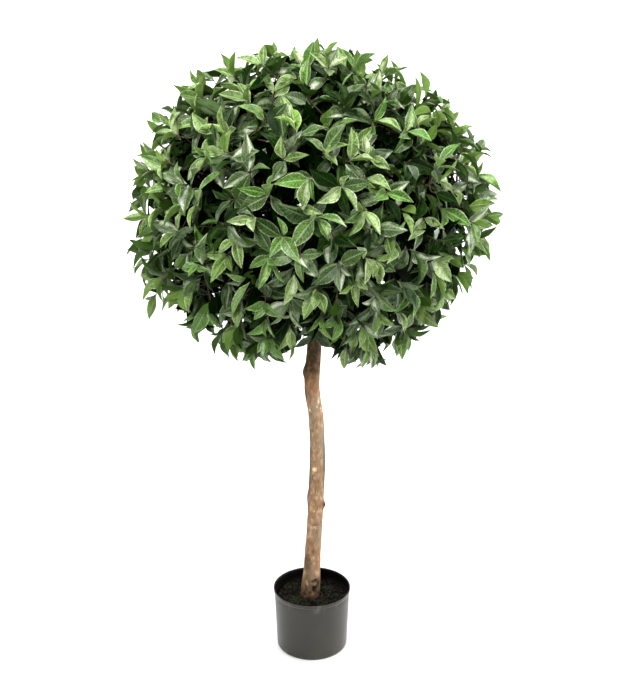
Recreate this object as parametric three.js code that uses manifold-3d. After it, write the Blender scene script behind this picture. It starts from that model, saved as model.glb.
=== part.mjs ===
// An artificial bay laurel standard: a clipped ball of leaves on a bare natural stem, in a black nursery pot.
// Millimetres, +Z up, with the origin at the centre of the pot's flat underside.
import * as THREE from "three";
import { mergeVertices } from "three/addons/utils/BufferGeometryUtils.js";
import Module from "manifold-3d";

const wasm = await Module();
wasm.setup();

// Driving sizes
const TREE_HEIGHT = 1500;
const CLEARANCE = 0.3;

const POT = {
  height: 163,
  rimRadius: 97,
  footRadius: 89,
  wall: 2.6,
  floor: 4,
  floorFillet: 4,
  lipHeight: 11,
  lipStep: 1.6,
  lipDraft: 0.5,
  rimRound: 1.5,
  innerRound: 0.8,
  footRound: 9,
  footSteps: [0, 0.35, 0.7, 1],
  sides: 36,
};

const FILLING = { top: 138, slack: 0.7, edgeDrop: 2, edgeWidth: 7, footInset: 5, level: 30, sides: 28 };

const TRUNK = {
  foot: FILLING.top + CLEARANCE,
  tip: 1262,
  footRadius: 20.6,
  tipRadius: 15.5,
  flare: 3.4,
  flareHeight: 55,
  sides: 12,
  steps: 34,
  closestRings: 8,
};

// Slow ripples in the stem's roundness: how deep, how many round it, and how fast they turn with height.
const RIPPLES = [
  { depth: 0.45, count: 3, twist: 0.011 },
  { depth: 0.3, count: 2, twist: -0.023 },
];

// The stem's middle line: [height, sideways, in depth]. It bows to the right and kinks back below the ball.
const TRUNK_LINE = [
  [TRUNK.foot, -2, -1],
  [245, 2.5, 1],
  [370, 9, 3],
  [530, 14, 2],
  [625, 10, -2],
  [700, 2, -3],
  [800, 5.5, 0],
  [1000, 5, 2],
  [TRUNK.tip, 3, 0],
];

// Knots where side shoots were cut off: height, turn in degrees, how far they stand out, and their half sizes.
const KNOTS = [
  { z: 738, turn: 186, out: 5.5, tall: 15, wide: 28 },
  { z: 487, turn: 255, out: 1.2, tall: 7, wide: 14 },
  { z: 408, turn: 150, out: 2.6, tall: 24, wide: 50 },
  { z: 388, turn: 5, out: 4, tall: 13, wide: 26 },
  { z: 352, turn: 285, out: 1.5, tall: 9, wide: 40 },
  { z: 172, turn: 292, out: 5.5, tall: 15, wide: 22 },
  { z: 150, turn: 205, out: 3.2, tall: 22, wide: 32 },
];

// The ball of leaves is a slightly flattened sphere. Its leaf tips reach this surface.
const BALL = { x: 2, y: 0, halfWidth: 416, halfHeight: 358 };
BALL.z = TREE_HEIGHT - BALL.halfHeight;

// Each mass has a shell of packed inner leaves, between these shares of the ball's size.
const CORE = { outer: 0.8, inner: 0.78, gapDegrees: 0.75, rows: 3, columnAngle: 0.26, topSides: 12 };

// Rows of masses from the top down: the row's upper and lower edge in degrees from the top, how many masses
// share it, and the height where their stems leave the trunk.
const ROWS = [
  { name: "crown_top", from: 0, to: 28, masses: 1, stemFrom: 1255 },
  { name: "crown_upper", from: 28, to: 63, masses: 4, stemFrom: 1195 },
  { name: "crown_middle", from: 63, to: 97, masses: 5, stemFrom: 1095 },
  { name: "crown_lower", from: 97, to: 131, masses: 4, stemFrom: 990 },
  { name: "crown_skirt", from: 131, to: 174, masses: 3, stemFrom: 900 },
];
const ROW_TURN = 0.37;
const STEM_STAGGER = 14;
const STEM_SINK = 6;

const STEM = {
  radius: 8,
  tipRadius: 5,
  armRadius: 3.4,
  armTipRadius: 2.6,
  forks: [0.36, 0.52],
  armSpread: 0.6,
  armDrop: 0.18,
  topTurn: 0.1,
  spin: 0.4,
};

const TWIG = {
  sprigs: 104,
  root: 0.79,
  tip: 0.87,
  tipSpread: 0.02,
  rootRadius: 3.8,
  tipRadius: 3.2,
  edgeInset: 0.075,
  poleInset: 0.03,
};

// A leaf leans away from straight out by its tilt. The first of a sprig stands out and grows to the ball's surface.
const LEAF = {
  length: 100,
  width: 45,
  widest: 0.46,
  thickness: 2,
  arch: 11,
  droop: 0.12,
  perSprig: 5,
  rootStep: 3.6,
  firstTilt: [0.15, 0.6],
  tilt: [0.85, 1.35],
  swing: 0.3,
  sizes: [0.9, 1.12],
  shrink: 0.012,
  reach: 0.995,
  longest: 1.2,
  margin: 1.6,
  tries: 22,
};

const GOLDEN_ANGLE = Math.PI * (3 - Math.sqrt(5));
const DEGREE = Math.PI / 180;
const UP = new THREE.Vector3(0, 0, 1);
const EAST = new THREE.Vector3(1, 0, 0);
const STEEP = 0.9;
const TWIG_FACES = [0, 2, 1, 3, 4, 5, 0, 1, 4, 0, 4, 3, 1, 2, 5, 1, 5, 4, 2, 0, 3, 2, 3, 5];
const LEAF_FACES = [0, 4, 2, 2, 4, 1, 1, 4, 3, 3, 4, 0, 0, 2, 3, 1, 3, 2];
const LEAF_EDGES = [[0, 2], [0, 3], [1, 2], [1, 3], [1, 4], [2, 4], [3, 4]];

// A number from 0 to 1 that depends only on its three counters.
function scatter(a, b, c) {
  const wave = Math.sin(a * 12.9898 + b * 78.233 + c * 37.719) * 43758.5453;
  return wave - Math.floor(wave);
}

function between([low, high], share) {
  return low + (high - low) * share;
}

// Solids

function solidFrom(geometry) {
  const bare = geometry.clone();
  bare.deleteAttribute("normal");
  bare.deleteAttribute("uv");
  const merged = mergeVertices(bare, 1e-4);
  const corners = merged.index.array;
  const kept = [];
  for (let i = 0; i < corners.length; i += 3) {
    const [a, b, c] = corners.slice(i, i + 3);
    if (a !== b && b !== c && c !== a) kept.push(a, b, c);
  }
  return new wasm.Manifold(
    new wasm.Mesh({
      numProp: 3,
      vertProperties: merged.attributes.position.array,
      triVerts: new Uint32Array(kept),
    }),
  );
}

function geometryFrom(solid) {
  const mesh = solid.getMesh();
  const geometry = new THREE.BufferGeometry();
  const points = new Float32Array(mesh.numVert * 3);
  for (let i = 0; i < mesh.numVert; i += 1) {
    for (let k = 0; k < 3; k += 1) points[i * 3 + k] = mesh.vertProperties[i * mesh.numProp + k];
  }
  geometry.setAttribute("position", new THREE.BufferAttribute(points, 3));
  geometry.setIndex([...mesh.triVerts]);
  geometry.computeVertexNormals();
  return geometry;
}

function triangleGeometry(points, corners) {
  const geometry = new THREE.BufferGeometry();
  geometry.setAttribute("position", new THREE.Float32BufferAttribute(points.flatMap((p) => p.toArray()), 3));
  geometry.setIndex(corners);
  return geometry;
}

// A slab between an outer and an inner sheet, each a grid of points.
function slab(columns, rows, outerPoint, innerPoint) {
  const points = [];
  for (const sheet of [outerPoint, innerPoint]) {
    for (let j = 0; j <= rows; j += 1) {
      for (let i = 0; i <= columns; i += 1) points.push(sheet(i / columns, j / rows));
    }
  }
  const at = (sheet, i, j) => (sheet * (rows + 1) + j) * (columns + 1) + i;
  const corners = [];
  const quad = (a, b, c, d) => corners.push(a, b, c, a, c, d);
  for (let j = 0; j < rows; j += 1) {
    for (let i = 0; i < columns; i += 1) {
      quad(at(0, i, j), at(0, i, j + 1), at(0, i + 1, j + 1), at(0, i + 1, j));
      quad(at(1, i, j), at(1, i + 1, j), at(1, i + 1, j + 1), at(1, i, j + 1));
    }
    quad(at(0, 0, j), at(1, 0, j), at(1, 0, j + 1), at(0, 0, j + 1));
    quad(at(0, columns, j), at(0, columns, j + 1), at(1, columns, j + 1), at(1, columns, j));
  }
  for (let i = 0; i < columns; i += 1) {
    quad(at(0, i, 0), at(0, i + 1, 0), at(1, i + 1, 0), at(1, i, 0));
    quad(at(0, i, rows), at(1, i, rows), at(1, i + 1, rows), at(0, i + 1, rows));
  }
  return triangleGeometry(points, corners);
}

// Pot and filling

function turned(profile, sides) {
  const points = profile.map(([r, z]) => new THREE.Vector2(r, z));
  return new THREE.LatheGeometry(points, sides).rotateX(Math.PI / 2);
}

// The pot's outer radius at a height, on its straight taper.
function potRadius(z) {
  return between([POT.footRadius, POT.rimRadius - POT.lipStep], z / POT.height);
}

function potGeometry() {
  const lipFoot = POT.height - POT.lipHeight;
  const footRound = POT.footSteps.map((share) => {
    const turn = (share * Math.PI) / 2;
    const inset = POT.footRound * (1 - Math.sin(turn));
    return [potRadius(POT.footRound) - inset, POT.footRound * (1 - Math.cos(turn))];
  });
  const rimInner = POT.rimRadius - POT.lipStep - POT.wall;
  const footInner = potRadius(POT.footRound) - POT.wall;
  return turned(
    [
      [0, 0],
      ...footRound,
      [potRadius(lipFoot - POT.lipStep), lipFoot - POT.lipStep],
      [POT.rimRadius - POT.lipDraft, lipFoot],
      [POT.rimRadius, POT.height - POT.rimRound],
      [POT.rimRadius - POT.rimRound, POT.height],
      [rimInner + POT.innerRound, POT.height],
      [rimInner, POT.height - POT.innerRound],
      [footInner, POT.footRound],
      [footInner - POT.floorFillet, POT.floor],
      [0, POT.floor],
    ],
    POT.sides,
  );
}

// The filling clears the pot all round. It is level round the stem and falls a little at its edge.
function fillingGeometry() {
  const side = (z) => potRadius(z) - POT.wall - FILLING.slack;
  const foot = POT.floor + CLEARANCE;
  const shoulder = FILLING.top - FILLING.edgeWidth;
  return turned(
    [
      [0, foot],
      [side(POT.footRound) - FILLING.footInset, foot],
      [side(POT.footRound) - CLEARANCE, POT.footRound + 1],
      [side(shoulder), shoulder],
      [side(FILLING.top) - FILLING.edgeWidth, FILLING.top - FILLING.edgeDrop],
      [FILLING.level, FILLING.top],
      [0, FILLING.top],
    ],
    FILLING.sides,
  );
}

// Trunk

const trunkCurve = new THREE.CatmullRomCurve3(TRUNK_LINE.map(([z, x, y]) => new THREE.Vector3(x, y, z)));

// The middle of the stem at a height, found by halving, because the curve's own parameter isn't its height.
function trunkMiddle(z) {
  let low = 0;
  let high = 1;
  for (let i = 0; i < 24; i += 1) {
    const middle = (low + high) / 2;
    if (trunkCurve.getPoint(middle).z < z) low = middle;
    else high = middle;
  }
  return trunkCurve.getPoint((low + high) / 2);
}

function trunkRadius(z, turn) {
  const above = (z - TRUNK.foot) / TRUNK.flareHeight;
  let radius = between([TRUNK.footRadius, TRUNK.tipRadius], (z - TRUNK.foot) / (TRUNK.tip - TRUNK.foot));
  radius += TRUNK.flare * Math.exp(-above * above);
  for (const { depth, count, twist } of RIPPLES) radius += depth * Math.sin(count * turn + twist * z);
  for (const knot of KNOTS) {
    const lift = (z - knot.z) / knot.tall;
    const apart = turn - knot.turn * DEGREE;
    const side = Math.atan2(Math.sin(apart), Math.cos(apart)) / (knot.wide * DEGREE);
    radius += knot.out * Math.exp(-lift * lift - side * side);
  }
  return radius;
}

// The stem's rings are even, with one more at each knot.
function trunkRings() {
  const heights = KNOTS.map((knot) => knot.z);
  for (let i = 0; i <= TRUNK.steps; i += 1) heights.push(between([TRUNK.foot, TRUNK.tip], i / TRUNK.steps));
  heights.sort((a, b) => a - b);
  const rings = heights.filter((z, i) => i === 0 || z - heights[i - 1] > TRUNK.closestRings);
  rings[rings.length - 1] = TRUNK.tip;
  return rings;
}

// The stem, grown by a margin all over.
function trunkGeometry(margin) {
  const rings = trunkRings();
  const last = rings.length - 1;
  const geometry = new THREE.CylinderGeometry(1, 1, 1, TRUNK.sides, last).rotateX(Math.PI / 2);
  const place = geometry.attributes.position;
  for (let i = 0; i < place.count; i += 1) {
    const across = Math.hypot(place.getX(i), place.getY(i));
    const turn = Math.atan2(place.getY(i), place.getX(i));
    const ring = Math.round((place.getZ(i) + 0.5) * last);
    const z = rings[ring];
    const middle = trunkMiddle(z);
    const radius = across * (trunkRadius(z, turn) + margin);
    let end = 0;
    if (ring === 0) end = -margin;
    if (ring === last) end = margin;
    place.setXYZ(i, middle.x + radius * Math.cos(turn), middle.y + radius * Math.sin(turn), z + end);
  }
  return geometry;
}

// The ball's own coordinates: share of its size, angle from the top, turn round it.

function ballPoint(share, down, turn) {
  return new THREE.Vector3(
    BALL.x + share * BALL.halfWidth * Math.sin(down) * Math.cos(turn),
    BALL.y + share * BALL.halfWidth * Math.sin(down) * Math.sin(turn),
    BALL.z + share * BALL.halfHeight * Math.cos(down),
  );
}

// A direction, or a point seen from the ball's middle, with the ball shrunk to a radius of 1.
function shrunk(vector) {
  return new THREE.Vector3(vector.x / BALL.halfWidth, vector.y / BALL.halfWidth, vector.z / BALL.halfHeight);
}

function shrunkPoint(point) {
  return shrunk(new THREE.Vector3(point.x - BALL.x, point.y - BALL.y, point.z - BALL.z));
}

function ballPlace(point) {
  const small = shrunkPoint(point);
  const share = small.length();
  return { share, down: Math.acos(small.z / share), turn: Math.atan2(small.y, small.x) };
}

// The way out of the ball at a point, square to its surface.
function outward(point) {
  return shrunk(shrunkPoint(point)).normalize();
}

// How far it is from a point inside the ball to the ball's surface, along a line.
function reachFrom(point, along) {
  const from = shrunkPoint(point);
  const step = shrunk(along);
  const half = from.dot(step) / step.lengthSq();
  return Math.sqrt(half * half + (1 - from.lengthSq()) / step.lengthSq()) - half;
}

// Masses of foliage

// Every mass has a space of its own: a stretch of turns and a stretch of angles from the top.
function massSpaces() {
  return ROWS.flatMap((row, r) => {
    const step = (2 * Math.PI) / row.masses;
    return Array.from({ length: row.masses }, (_, k) => ({
      name: row.masses === 1 ? row.name : `${row.name}_${k + 1}`,
      from: row.from * DEGREE,
      to: row.to * DEGREE,
      middle: (k + ROW_TURN * r) * step,
      half: step / 2,
      whole: row.masses === 1,
      stemFrom: row.stemFrom + STEM_STAGGER * ((k % 3) - 1),
    }));
  });
}

function fromMiddle(space, turn) {
  return Math.atan2(Math.sin(turn - space.middle), Math.cos(turn - space.middle));
}

function holds(space, point) {
  const place = ballPlace(point);
  if (place.share > 1) return false;
  const slack = LEAF.margin / (place.share * BALL.halfHeight);
  if (space.from > 0 && place.down < space.from + slack) return false;
  if (place.down > space.to - slack) return false;
  if (space.whole) return true;
  const aside = space.half - Math.abs(fromMiddle(space, place.turn));
  return aside * place.share * BALL.halfWidth * Math.sin(place.down) > LEAF.margin;
}

// A tapering three-sided twig between two points.
function twig(from, to, startRadius, endRadius, spin) {
  const along = to.clone().sub(from).normalize();
  const side = new THREE.Vector3().crossVectors(along, Math.abs(along.z) > STEEP ? EAST : UP).normalize();
  const ring = (centre, radius) =>
    [0, 1, 2].map((k) => {
      const corner = side.clone().applyAxisAngle(along, spin + (2 * Math.PI * k) / 3);
      return centre.clone().addScaledVector(corner, radius);
    });
  return solidFrom(triangleGeometry([...ring(from, startRadius), ...ring(to, endRadius)], TWIG_FACES));
}

// The five corners of a leaf: root, tip, two sides, and the rib over their middle.
function leafCorners(root, along, face, size) {
  const across = new THREE.Vector3().crossVectors(face, along).normalize();
  const at = (a, b, c) =>
    root
      .clone()
      .addScaledVector(along, a * size)
      .addScaledVector(across, b * size)
      .addScaledVector(face, c * size);
  const belly = LEAF.length * LEAF.widest;
  return [
    at(0, 0, 0),
    at(LEAF.length, 0, 0),
    at(belly, LEAF.width / 2, LEAF.arch),
    at(belly, -LEAF.width / 2, LEAF.arch),
    at(belly, 0, LEAF.arch + LEAF.thickness),
  ];
}

// The leaf's corners and the middles of its edges, which a curved border could otherwise miss.
function fits(space, corners) {
  const halfway = LEAF_EDGES.map(([a, b]) => corners[a].clone().add(corners[b]).multiplyScalar(0.5));
  return [...corners.slice(1), ...halfway].every((point) => holds(space, point));
}

// The leaf's line out of its sprig: the first leaf points outwards and the others spread round it.
function leafLine(out, index, k, attempt) {
  const level = Math.abs(out.z) > STEEP ? EAST : UP;
  const sideways = new THREE.Vector3().crossVectors(out, level).normalize();
  const other = new THREE.Vector3().crossVectors(out, sideways);
  const tilt = between(k === 0 ? LEAF.firstTilt : LEAF.tilt, scatter(index, k, attempt));
  const swing = LEAF.swing * Math.ceil(attempt / 2) * (attempt % 2 ? 1 : -1);
  const turn = index + k * GOLDEN_ANGLE + swing;
  const along = out.clone().multiplyScalar(Math.cos(tilt));
  along.addScaledVector(sideways, Math.cos(turn) * Math.sin(tilt));
  along.addScaledVector(other, Math.sin(turn) * Math.sin(tilt));
  along.z -= LEAF.droop;
  return along.normalize();
}

// One sprig: a short twig out of the packed leaves, ending in a whorl of leaves. No leaf passes the ball's
// surface. Each is turned until it stays in the mass's space and crosses no other, or else it is skipped.
function sprig(space, core, taken, place) {
  const { index } = place;
  const spread = between([-TWIG.tipSpread, TWIG.tipSpread], scatter(index, 1, 0));
  const tip = ballPoint(TWIG.tip + spread, place.down, place.turn);
  const root = ballPoint(TWIG.root, place.down, place.turn);
  const axis = tip.clone().sub(root).normalize();
  const out = outward(tip);
  const leaves = [];
  for (let k = 0; k < LEAF.perSprig; k += 1) {
    const start = tip.clone().addScaledVector(axis, -LEAF.rootStep * (k + 0.5));
    for (let attempt = 0; attempt < LEAF.tries; attempt += 1) {
      const along = leafLine(out, index, k, attempt);
      const face = out.clone().addScaledVector(along, -out.dot(along)).normalize();
      const reach = LEAF.reach * (reachFrom(start, along) / LEAF.length);
      const grown = between(LEAF.sizes, scatter(index, k, LEAF.tries)) - LEAF.shrink * attempt;
      const corners = leafCorners(start, along, face, Math.min(reach, k === 0 ? LEAF.longest : grown));
      if (!fits(space, corners)) continue;
      const leaf = solidFrom(triangleGeometry(corners, LEAF_FACES));
      if ([core, ...taken, ...leaves].some((other) => !leaf.intersect(other).isEmpty())) continue;
      leaves.push(leaf);
      break;
    }
  }
  taken.push(...leaves);
  return [twig(root, tip, TWIG.rootRadius, TWIG.tipRadius, index), ...leaves];
}

// The mass's share of the shell of packed leaves.
function coreGeometry(space) {
  const gap = CORE.gapDegrees * DEGREE;
  if (space.whole) {
    const arc = (share) =>
      Array.from({ length: CORE.rows + 1 }, (_, j) => {
        const down = ((space.to - gap) * j) / CORE.rows;
        return [share * BALL.halfWidth * Math.sin(down), share * BALL.halfHeight * Math.cos(down)];
      });
    const profile = [...arc(CORE.inner), ...arc(CORE.outer).reverse()];
    return turned(profile, CORE.topSides).translate(BALL.x, BALL.y, BALL.z);
  }
  const down = (share) => between([space.from + gap, space.to - gap], share);
  const turn = (share) => space.middle + between([gap - space.half, space.half - gap], share);
  return slab(
    Math.round((space.half * 2) / CORE.columnAngle),
    CORE.rows,
    (u, v) => ballPoint(CORE.outer, down(v), turn(u)),
    (u, v) => ballPoint(CORE.inner, down(v), turn(u)),
  );
}

// The mass's stem from the trunk into the shell, and an arm from each of its forks to either side.
function stemSolids(space) {
  const start = trunkMiddle(Math.min(space.stemFrom, TRUNK.tip - STEM_SINK));
  const shell = (CORE.outer + CORE.inner) / 2;
  const centre = space.whole ? STEM.topTurn : (space.from + space.to) / 2;
  const goal = ballPoint(shell, centre, space.middle);
  const solids = [twig(start, goal, STEM.radius, STEM.tipRadius, STEM.spin)];
  STEM.forks.forEach((share, k) => {
    const side = k % 2 ? 1 : -1;
    const drop = side * STEM.armDrop * (space.to - space.from);
    const down = space.whole ? space.to * STEM.armSpread : centre + drop;
    const turn = space.middle + (space.whole ? Math.PI * k : side * STEM.armSpread * space.half);
    const fork = start.clone().lerp(goal, share);
    solids.push(twig(fork, ballPoint(shell, down, turn), STEM.armRadius, STEM.armTipRadius, k));
  });
  return solids;
}

// Twig ends lie on a spiral that spreads them evenly over the ball, and each belongs to the mass it falls in.
function sprigPlaces(space) {
  const places = [];
  for (let index = 0; index < TWIG.sprigs; index += 1) {
    const down = Math.acos(1 - (2 * (index + 0.5)) / TWIG.sprigs);
    const turn = (index * GOLDEN_ANGLE) % (2 * Math.PI);
    const aside = fromMiddle(space, turn);
    if (down <= space.from || down > space.to) continue;
    if (!space.whole && Math.abs(aside) > space.half) continue;
    const limit = space.half - TWIG.edgeInset / Math.sin(down);
    const highest = space.from > 0 ? space.from + TWIG.edgeInset : TWIG.poleInset;
    places.push({
      index,
      down: THREE.MathUtils.clamp(down, highest, space.to - TWIG.edgeInset),
      turn: space.whole ? turn : space.middle + THREE.MathUtils.clamp(aside, -limit, limit),
    });
  }
  return places;
}

const trunkGrown = solidFrom(trunkGeometry(CLEARANCE + 0.05));

function massGeometry(space) {
  const core = solidFrom(coreGeometry(space));
  const taken = [];
  const sprigs = sprigPlaces(space).flatMap((place) => sprig(space, core, taken, place));
  const whole = wasm.Manifold.union([core, ...stemSolids(space), ...sprigs]).subtract(trunkGrown);
  const pieces = whole.decompose().sort((a, b) => b.volume() - a.volume());
  return geometryFrom(pieces[0]);
}

// Finishes
const FINISH = {
  pot: new THREE.MeshStandardMaterial({ color: 0x3b3a38, roughness: 0.38, metalness: 0 }),
  filling: new THREE.MeshStandardMaterial({ color: 0x1b1d16, roughness: 0.95, metalness: 0 }),
  bark: new THREE.MeshStandardMaterial({ color: 0xa08266, roughness: 0.8, metalness: 0 }),
  leaf: new THREE.MeshStandardMaterial({ color: 0x3f6a33, roughness: 0.55, metalness: 0 }),
};

function part(name, geometry, finish) {
  const mesh = new THREE.Mesh(geometry, finish);
  mesh.name = name;
  return mesh;
}

const tree = new THREE.Group();
tree.add(part("pot", geometryFrom(solidFrom(potGeometry())), FINISH.pot));
tree.add(part("pot_filling", geometryFrom(solidFrom(fillingGeometry())), FINISH.filling));
tree.add(part("trunk", geometryFrom(solidFrom(trunkGeometry(0))), FINISH.bark));
for (const space of massSpaces()) tree.add(part(space.name, massGeometry(space), FINISH.leaf));

export default tree;
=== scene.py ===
# An artificial bay laurel standard in a black nursery pot, dressed leaf by leaf. Metres, +Z up.
import math

import bmesh
import bpy
import numpy as np
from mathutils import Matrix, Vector, noise


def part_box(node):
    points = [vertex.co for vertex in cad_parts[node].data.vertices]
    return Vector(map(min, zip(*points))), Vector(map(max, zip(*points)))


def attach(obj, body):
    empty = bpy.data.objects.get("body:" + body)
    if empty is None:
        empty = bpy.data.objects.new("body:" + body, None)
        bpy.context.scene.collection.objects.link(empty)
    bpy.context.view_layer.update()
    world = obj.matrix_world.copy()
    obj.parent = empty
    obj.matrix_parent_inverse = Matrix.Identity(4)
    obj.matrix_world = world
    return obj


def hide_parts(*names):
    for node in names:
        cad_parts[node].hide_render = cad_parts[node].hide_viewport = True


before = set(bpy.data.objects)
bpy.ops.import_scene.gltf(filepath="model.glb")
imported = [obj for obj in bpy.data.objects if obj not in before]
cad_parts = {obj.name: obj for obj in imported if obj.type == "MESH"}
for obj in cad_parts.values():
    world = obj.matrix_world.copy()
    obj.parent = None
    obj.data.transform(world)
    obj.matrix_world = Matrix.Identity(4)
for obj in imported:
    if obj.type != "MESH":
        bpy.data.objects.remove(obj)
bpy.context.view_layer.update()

MM = 0.001
DEGREE = math.pi / 180
GOLDEN_ANGLE = math.pi * (3 - math.sqrt(5))
UP = np.array([0, 0, 1.0])
UV_NAME = "OFBake"
PICK_NAME = "leaf_pick"
CROWN_NODES = sorted(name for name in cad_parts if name.startswith("crown"))

# Driving sizes

POT_LOW, POT_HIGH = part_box("pot")
FILLING_LOW, FILLING_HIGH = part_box("pot_filling")
TRUNK_LOW, TRUNK_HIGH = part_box("trunk")

POT = {
    "height": POT_HIGH[2],
    "rim_radius": POT_HIGH[0],
    "foot_radius": 89 * MM,
    "wall": 2.6 * MM,
    "floor": 4 * MM,
    "floor_corner": 4 * MM,
    "lip_height": 11 * MM,
    "lip_step": 1.6 * MM,
    "lip_corner": 0.6 * MM,
    "lip_slope": 4.5 * MM,
    "rim_round": 1.3 * MM,
    "foot_round": 9 * MM,
    "foot_ring": 9 * MM,
    "foot_recess": 1.2 * MM,
    "groove": 0.5 * MM,
    "groove_half": 2 * MM,
    "groove_below": 15 * MM,
    "sides": 144,
}

# The relief of the filling's top is a list of depths and finenesses.
FILLING = {
    "top": FILLING_HIGH[2],
    "slack": 0.5 * MM,
    "off_floor": 0.4 * MM,
    "foot_inset": 6 * MM,
    "foot_corner": (5 * MM, 12 * MM),
    "edge_drop": 2 * MM,
    "edge_round": 6 * MM,
    "round_from": 0.93,
    "relief": [(3 * MM, 28), (1.8 * MM, 90), (1 * MM, 260)],
    "sunk": 1.2 * MM,
    "sides": 150,
    "rings": 34,
}
CRUMBS = {"edge_gap": 5 * MM, "stem_gap": 26 * MM, "sunk": 1 * MM, "clump_width": 30 * MM}

TRUNK = {
    "foot": TRUNK_LOW[2],
    "tip": TRUNK_HIGH[2],
    "foot_radius": 20.6 * MM,
    "tip_radius": 15.5 * MM,
    "flare": 3.4 * MM,
    "flare_height": 55 * MM,
    "sides": 96,
    "rings": 620,
}

# Slow ripples in the stem's roundness: how deep, how many round it, and how fast they turn with height.
RIPPLES = [(0.45 * MM, 3, 11), (0.3 * MM, 2, -23)]

# How far the bark's forms stand out or sink in.
RELIEF = {
    "coarse": 0.75 * MM,
    "medium": 0.4 * MM,
    "fine": 0.22 * MM,
    "crack": 0.55 * MM,
    "hollow": 4.5 * MM,
    "scar_dip": 0.8 * MM,
    "scar_ring": 0.6 * MM,
    "stub_ring": 2.2 * MM,
}

# The rings of the scar and of the stub lie nearer their middles than the knots' own edges.
RING_SPREAD = 0.62

# How high soil sticks to the stem: all round, more about one side's mark, and more where the bark stands out.
SOIL = {"rise": 7 * MM, "side_rise": 12 * MM, "lump_rise": 5 * MM, "side": (0, 322, 1, 40, 1)}

# The stem's middle line in millimetres: height, sideways, in depth.
TRUNK_LINE = [
    (138.3, -4, -1),
    (245, 1.5, 1),
    (370, 9, 3),
    (530, 14, 2),
    (625, 10, -2),
    (700, 1, -3),
    (800, 5.5, 0),
    (1000, 5, 2),
    (1262, 3, 0),
]

# Knots in millimetres and degrees: height, turn, half height, half width, how far they stand out.
KNOTS = {
    "top_knob": (742, 190, 13, 26, 7.5),
    "scar": (492, 247, 10, 22, 1.2),
    "bulge": (410, 185, 19, 52, 3.4),
    "right_knob": (392, 338, 10, 20, 6),
    "low_swell": (352, 285, 9, 40, 1.5),
    "stub": (180, 305, 14, 26, 5.5),
    "foot_swell": (158, 210, 24, 34, 3.4),
    "left_swell": (684, 188, 40, 60, 1.6),
}

# Marks on the bark: height, turn, half height, half width, strength.
MARKS = {
    "scar": [(492, 247, 5.4, 17, 1)],
    # Hollows sink into the bark, and the finish paints them near black: painted shade in them.
    "hollow": [
        (384, 330, 4, 10, 1),
        (341, 262, 1.6, 24, 0.55),
        (187, 277, 4, 9, 0.75),
        (190, 297, 4, 13, 0.8),
        (181, 316, 8, 9, 0.75),
        (168, 291, 8.5, 17, 1),
        (176, 299, 16, 26, 0.25),
        (155, 262, 6, 10, 0.8),
        (168, 236, 10, 5, 0.85),
        (150, 230, 6, 12, 0.7),
        (160, 292, 5, 12, 0.7),
        (742, 190, 9, 12, 0.4),
        (692, 197, 20, 22, 0.45),
    ],
    "grey": [
        (238, 230, 18, 26, 1.4),
        (213, 238, 24, 34, 0.45),
        (188, 328, 15, 24, 0.8),
        (684, 205, 15, 32, 0.9),
        (460, 252, 22, 12, 0.3),
        (270, 270, 7, 11, 0.9),
        # This mark and the next darken the stem's foot at its sides: painted shade.
        (163, 318, 26, 40, 0.75),
        (156, 215, 18, 30, 0.6),
        (196, 236, 5, 9, 0.6),
        (205, 292, 4, 9, 0.4),
        (325, 346, 30, 17, 0.7),
        (178, 254, 20, 14, 0.8),
    ],
    "shaded": [(392, 342, 8, 24, 1), (490, 343, 95, 25, 0.8), (500, 197, 140, 17, 0.5)],
    "pale": [
        (668, 318, 9, 12, 0.9),
        (652, 325, 5, 9, 0.8),
        (660, 258, 5, 9, 0.6),
        (648, 228, 4, 9, 0.9),
        (677, 283, 4, 8, 0.5),
        (655, 292, 4, 10, 0.6),
        (635, 300, 5, 12, 0.4),
        (215, 205, 9, 15, 0.9),
        (179, 294, 4.5, 10, 0.6),
        (172, 250, 12, 13, 0.5),
    ],
    "rust": [
        (229, 318, 8, 12, 0.5),
        (221, 322, 6, 10, 0.5),
        (634, 308, 9, 20, 0.45),
        (396, 300, 9, 10, 0.45),
    ],
}

BALL = {"x": 2 * MM, "y": 0.0, "z": 1142 * MM, "half_width": 416 * MM, "half_height": 358 * MM}
BALL_MIDDLE = np.array([BALL["x"], BALL["y"], BALL["z"]])
BALL_HALF = np.array([BALL["half_width"], BALL["half_width"], BALL["half_height"]])

# Where the clipped ball swells past its even shape: turn, angle from the top, by how much, and how wide.
SWELLS = [
    (180, 40, 0.065, 26),
    (0, 48, 0.015, 22),
    (180, 82, 0.02, 24),
    (0, 84, 0.025, 30),
    (182, 118, 0.19, 17),
    (2, 126, 0.03, 20),
    (0, 61, -0.03, 12),
    (0, 78, 0.045, 12),
    (180, 12, 0.02, 14),
    (221, 140, 0.1, 15),
    (180, 154, 0.08, 15),
    (0, 154, 0.08, 15),
    (264, 152, -0.05, 14),
    (294, 162, 0.05, 11),
    (324, 141, 0.1, 15),
    (95, 140, 0.03, 28),
]
UNEVEN = 0.025

# Rows of masses: upper and lower edge in degrees from the top, masses in the row, where their stems start.
ROWS = [(0, 28, 1, 1255), (28, 63, 4, 1195), (63, 97, 5, 1095), (97, 131, 4, 990), (131, 174, 3, 900)]

# How far a row is turned from the one above, how far its stems' starts differ, how far they stay below the
# trunk's tip, and the share of the ball's size where stems and arms end.
ROW_TURN = 0.37
STEM_STAGGER = 14 * MM
STEM_SINK = 6 * MM
SHELL = 0.79

# Radius of each kind of wood at its root and at its tip.
WOOD = {
    "stem": (8 * MM, 3.4 * MM),
    "arm": (3.4 * MM, 2.2 * MM),
    "branchlet": (2.6 * MM, 1.5 * MM),
    "twig": (1.6 * MM, 1.1 * MM),
}

# Wood grows from places along a stem, an arm or a branchlet that start at these shares of its length.
GROWS_FROM = {"stem": 0.3, "arm": 0.1, "branchlet": 0.25}
PLACES_ALONG = 9

# How strongly a branchlet or a twig turns to its goal where it leaves the older wood.
TURNS = {"branchlet": 0.8, "twig": 1.2}

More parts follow.
